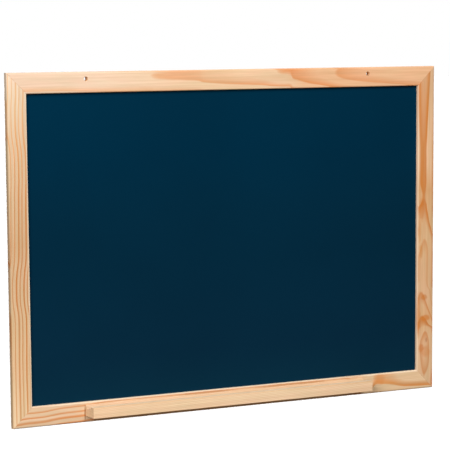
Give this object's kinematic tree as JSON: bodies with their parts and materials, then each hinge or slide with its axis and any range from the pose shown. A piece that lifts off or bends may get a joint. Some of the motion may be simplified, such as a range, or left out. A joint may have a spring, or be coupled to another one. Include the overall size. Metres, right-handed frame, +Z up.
{
  "type": "wall chalkboard",
  "caption": "Wall chalkboard: dark blue writing panel in a mitred pine frame, with a grooved pine chalk ledge on the bottom rail and hanging holes in the top rail.",
  "frame": {"origin": "midway between the axes of the two hanging holes, on the wall plane that the frame's back lies on", "axes": "+X along the top rail to the right as seen from the front, +Y into the wall, +Z up; the writing face looks along -Y"},
  "size_m": [0.7, 0.038, 0.5],
  "materials": {
    "frame_pine": "satin varnished pine with warm orange grain",
    "ledge_pine": "satin varnished pale pine with fine straight grain",
    "board_paint": "matt dark blue chalkboard paint on hardboard",
    "zinc_steel": "bright zinc plated"
  },
  "bodies": {
    "root": {"top_rail": "frame_pine", "bottom_rail": "frame_pine", "left_stile": "frame_pine", "right_stile": "frame_pine", "writing_panel": "board_paint", "chalk_ledge": "ledge_pine", "ledge_screw_1": "zinc_steel", "ledge_screw_2": "zinc_steel", "ledge_screw_3": "zinc_steel", "mitre_nail_top_left_outer": "zinc_steel", "mitre_nail_top_left_inner": "zinc_steel", "mitre_nail_top_right_outer": "zinc_steel", "mitre_nail_top_right_inner": "zinc_steel", "mitre_nail_bottom_right_outer": "zinc_steel", "mitre_nail_bottom_right_inner": "zinc_steel", "mitre_nail_bottom_left_outer": "zinc_steel", "mitre_nail_bottom_left_inner": "zinc_steel", "panel_point_top_1": "zinc_steel", "panel_point_top_2": "zinc_steel", "panel_point_top_3": "zinc_steel", "panel_point_top_4": "zinc_steel", "panel_point_bottom_1": "zinc_steel", "panel_point_bottom_2": "zinc_steel", "panel_point_bottom_3": "zinc_steel", "panel_point_bottom_4": "zinc_steel", "panel_point_left_1": "zinc_steel", "panel_point_left_2": "zinc_steel", "panel_point_left_3": "zinc_steel", "panel_point_right_1": "zinc_steel", "panel_point_right_2": "zinc_steel", "panel_point_right_3": "zinc_steel"}
  },
  "joints": []
}
